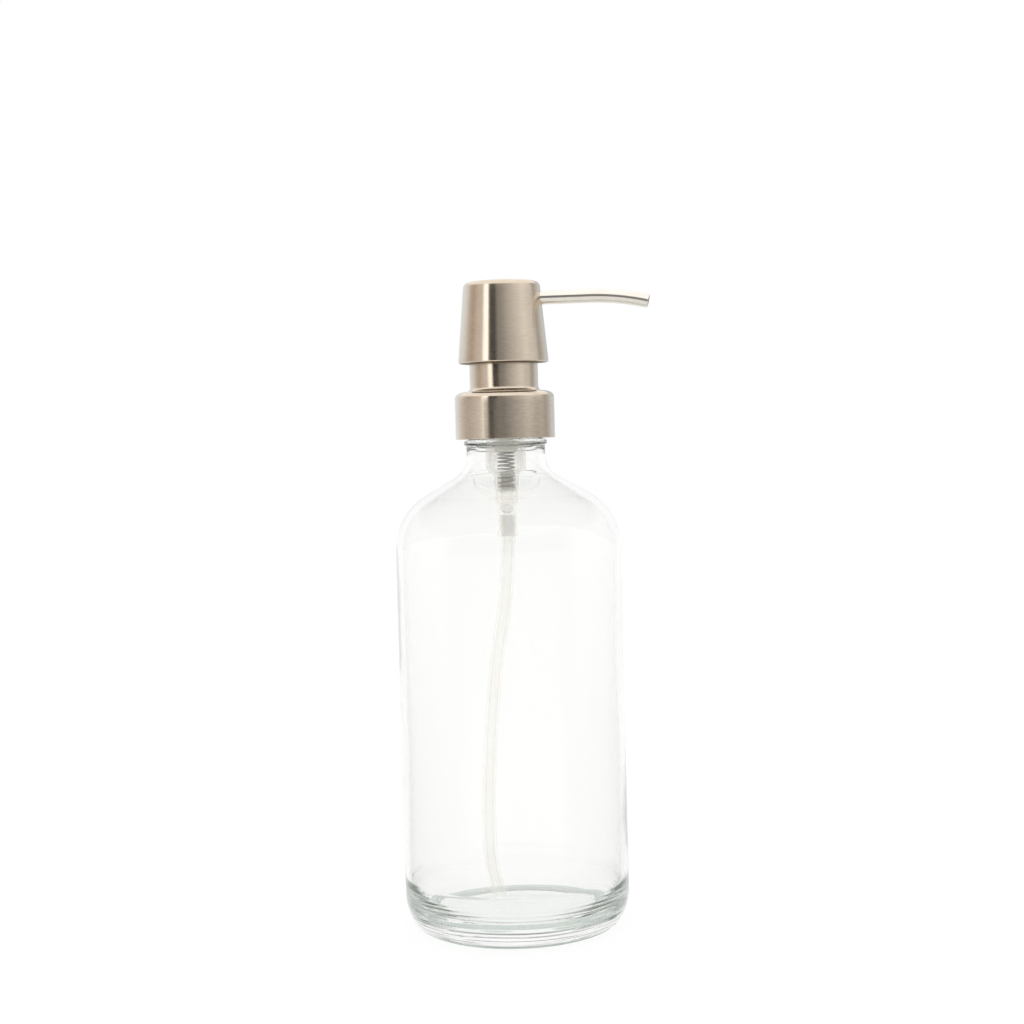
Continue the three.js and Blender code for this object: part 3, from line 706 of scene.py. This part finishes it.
def head_cover():
    """The conical shell, with a hole for the spout. Its inside is rougher and painted darker than its
    outside, as painted shade.
    """
    def skin(depth):
        lean = math.atan(HEAD_TAPER)
        z = HEAD_TOP - HEAD_CORNER
        centre = head_radius(z) - HEAD_CORNER / math.cos(lean)
        corner = arc(centre, z, HEAD_CORNER - depth, math.degrees(lean), 90, 12)
        foot = (head_radius(HEAD_BOTTOM) - depth, HEAD_BOTTOM + 0.3)
        top = line(corner[-1], (0, HEAD_TOP - depth), 8)
        return [foot] + line(foot, corner[0], 16)[:-1] + corner + top
    rim = [(HEAD_FOOT_RADIUS - HEAD_WALL + 0.18, HEAD_BOTTOM), (HEAD_FOOT_RADIUS - 0.22, HEAD_BOTTOM)]
    inner = skin(HEAD_WALL)[::-1]
    mesh = revolve("head_shell", skin(0)[::-1] + rim[::-1] + inner[::-1], 192)
    cover = add("head_shell", mesh, "head", "head_cover", STEEL)
    ends = [Vector((8.0, 0, SPOUT_Z)), Vector((16.5, 0, SPOUT_Z))]
    cut_away(cover, sweep("spout_hole", ends, circle(SPOUT_RADIUS + 0.15, 48)))
    line_inside(cover, SHADED_INNER_STEEL)


def spout():
    """A thin tube, straight at first and then bent down."""
    straight = SPOUT_BEND_START - SPOUT_START
    bend = SPOUT_BEND_RADIUS * math.radians(SPOUT_BEND)
    count = 60
    path = []
    for i in range(count + 1):
        along = (straight + bend) * i / count
        if along <= straight:
            path.append(Vector((SPOUT_START + along, 0, SPOUT_Z)))
            continue
        angle = (along - straight) / SPOUT_BEND_RADIUS
        path.append(Vector((SPOUT_BEND_START + SPOUT_BEND_RADIUS * math.sin(angle), 0,
                            SPOUT_Z - SPOUT_BEND_RADIUS * (1 - math.cos(angle)))))
    add("spout_pipe", tube("spout_pipe", path, SPOUT_RADIUS, SPOUT_BORE, 48), "head", "spout_tube",
        SPOUT_STEEL)


def carry_over(node, material):
    """Keeps a CAD node that is hidden inside, with a finished material."""
    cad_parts[node].data.materials.clear()
    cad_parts[node].data.materials.append(material)


# ------------------------------------------------------------------ studio


CAMERA_AZIMUTH = 8.0
CAMERA_DISTANCE = 581.0
CAMERA_HEIGHT = 160.8
CAMERA_PITCH = -2.23
CAMERA_YAW = -0.15
CAMERA_ROLL = -1.54


def camera():
    """The point of view of the photograph."""
    data = bpy.data.cameras.new("camera")
    data.lens = 61.3
    data.sensor_width = 36
    data.clip_start, data.clip_end = 0.01, 20
    made = bpy.data.objects.new("camera", data)
    bpy.context.collection.objects.link(made)
    azimuth = math.radians(CAMERA_AZIMUTH)
    made.location = Vector((math.sin(azimuth) * CAMERA_DISTANCE, -math.cos(azimuth) * CAMERA_DISTANCE,
                            CAMERA_HEIGHT)) * MM
    level = Matrix.Rotation(azimuth + math.radians(CAMERA_YAW), 4, "Z") @ Matrix.Rotation(math.pi / 2, 4, "X")
    pitch = Matrix.Rotation(math.radians(CAMERA_PITCH), 4, "X")
    roll = Matrix.Rotation(math.radians(CAMERA_ROLL), 4, "Z")
    made.rotation_mode = "QUATERNION"
    made.rotation_quaternion = (level @ (pitch @ roll)).to_quaternion()
    bpy.context.scene.camera = made


def floor():
    """Plain white, and left out of the reflections, where the surroundings stand in for it."""
    mesh = bpy.data.meshes.new("floor")
    half = 4.0
    corners = [(-half, -half, 0), (half, -half, 0), (half, half, 0), (-half, half, 0)]
    mesh.from_pydata(corners, [], [(0, 1, 2, 3)])
    made = bpy.data.objects.new("floor", mesh)
    bpy.context.collection.objects.link(made)
    n = Nodes(bpy.data.materials.new("floor_white"))
    shader = n.node("BsdfDiffuse", {"Color": (0.92, 0.92, 0.915, 1)})
    mesh.materials.append(n.show(shader.outputs[0]))
    made.visible_glossy = False


def steel_room(n, turn, z):
    """What steel reflects: bright and dark bands, in one set for level rays and one for rays that rise."""
    level = n.ramp(turn, [
        (0.00, (1.0, 1.05, 1.1)), (0.12, (1.03, 1.09, 1.15)), (0.165, 0.82), (0.22, (0.67, 0.67, 0.65)),
        (0.30, 0.79), (0.345, 1.02), (0.362, 1.10), (0.368, 0.05), (0.42, 0.08), (0.438, 0.31), (0.49, 0.19),
        (0.54, 0.29), (0.60, 0.46), (0.65, 0.68), (0.72, 0.44), (0.765, 0.56), (0.81, 0.54),
        (0.88, (0.86, 0.92, 0.98)), (0.95, (0.78, 0.84, 0.88)), (1.00, (0.84, 0.90, 0.94))])
    raised = n.ramp(turn, [
        (0.00, (0.90, 0.96, 1.0)), (0.13, (1.04, 1.14, 1.22)), (0.17, (1.0, 1.04, 1.08)),
        (0.21, (0.72, 0.69, 0.66)), (0.25, (0.60, 0.50, 0.45)), (0.30, (0.84, 0.76, 0.70)), (0.342, 0.80),
        (0.356, 2.0), (0.388, 2.5), (0.395, 0.02), (0.445, 0.01), (0.460, 0.27), (0.50, 0.38),
        (0.56, 0.69), (0.62, 0.93), (0.67, 1.14), (0.765, 0.93), (0.80, 0.52), (0.88, (0.84, 0.90, 0.95)),
        (0.95, (0.66, 0.71, 0.76)), (1.00, (0.72, 0.77, 0.82))])
    return n.mix(n.between(z, 0.0, 0.12), level, raised)


def studio():
    """White surroundings, with a darker room on the side that the camera stands on.

    Steel, glass and matt pieces each see surroundings of their own, and the camera sees plain white.
    """
    scene = bpy.context.scene
    scene.view_settings.view_transform = "Standard"
    scene.world = bpy.data.worlds.new("studio")
    n = Nodes(scene.world, "OutputWorld")
    x, y, z = n.node("SeparateXYZ", {0: n.node("TexCoord").outputs["Generated"]}).outputs
    # Bearing round the object: 0.5 is straight behind the camera, 0 and 1 are behind the object.
    bearing = n.math("ARCTAN2", x, n.math("MULTIPLY", y, -1.0))
    bearing = n.math("SUBTRACT", bearing, math.radians(CAMERA_AZIMUTH))
    turn = n.math("FRACT", n.math("ADD", n.math("DIVIDE", bearing, TAU), 0.5))

    glass_high = n.ramp(turn, [(0.29, 1.0), (0.34, 0.46), (0.66, 0.46), (0.71, 1.0)])
    glass_low = n.ramp(turn, [
        (0.08, 1.0), (0.14, 0.35), (0.26, 0.22), (0.34, 0.5), (0.38, 1.0), (0.62, 1.0), (0.66, 0.5),
        (0.74, 0.22), (0.86, 0.35), (0.92, 1.0)])
    glass_room = n.mix(n.between(z, -0.04, -0.22), glass_high, glass_low)

    path = n.node("LightPath").outputs
    in_glass = path["Is Singular Ray"]
    white = (1, 1, 1, 1)
    room = n.mix(in_glass, steel_room(n, turn, z), glass_room)
    ceiling = n.mix(in_glass, (1.35, 1.35, 1.35, 1), (0.72, 0.72, 0.72, 1))
    ground = n.mix(in_glass, white, glass_low)
    room = n.mix(n.between(z, 0.38, 0.52), room, ceiling)
    room = n.mix(n.between(z, -0.14, -0.26), room, ground)
    room = n.mix(path["Is Diffuse Ray"], room, (1.10, 1.10, 1.10, 1))
    room = n.mix(path["Is Camera Ray"], room, white)
    n.show(n.node("Background", {"Color": room, "Strength": 1.0}).outputs[0])


camera()
floor()
studio()
bottle()
collar()
screw_cap()
neck_liner()
gasket()
housing()
guide_ring()
dip_tube()
ball_cage()
spring()
ball("inlet_valve_ball", "inlet_ball", "lower_valve")
ball("outlet_valve_ball", "outlet_ball", "upper_valve")
head_cover()
spout()
for name in ("piston", "stem", "head_core"):
    carry_over(name, WHITE_PLASTIC)
# The retainer gets the grey plastic: painted shade under the collar.
carry_over("piston_retainer", SHADED_GREY_PLASTIC)
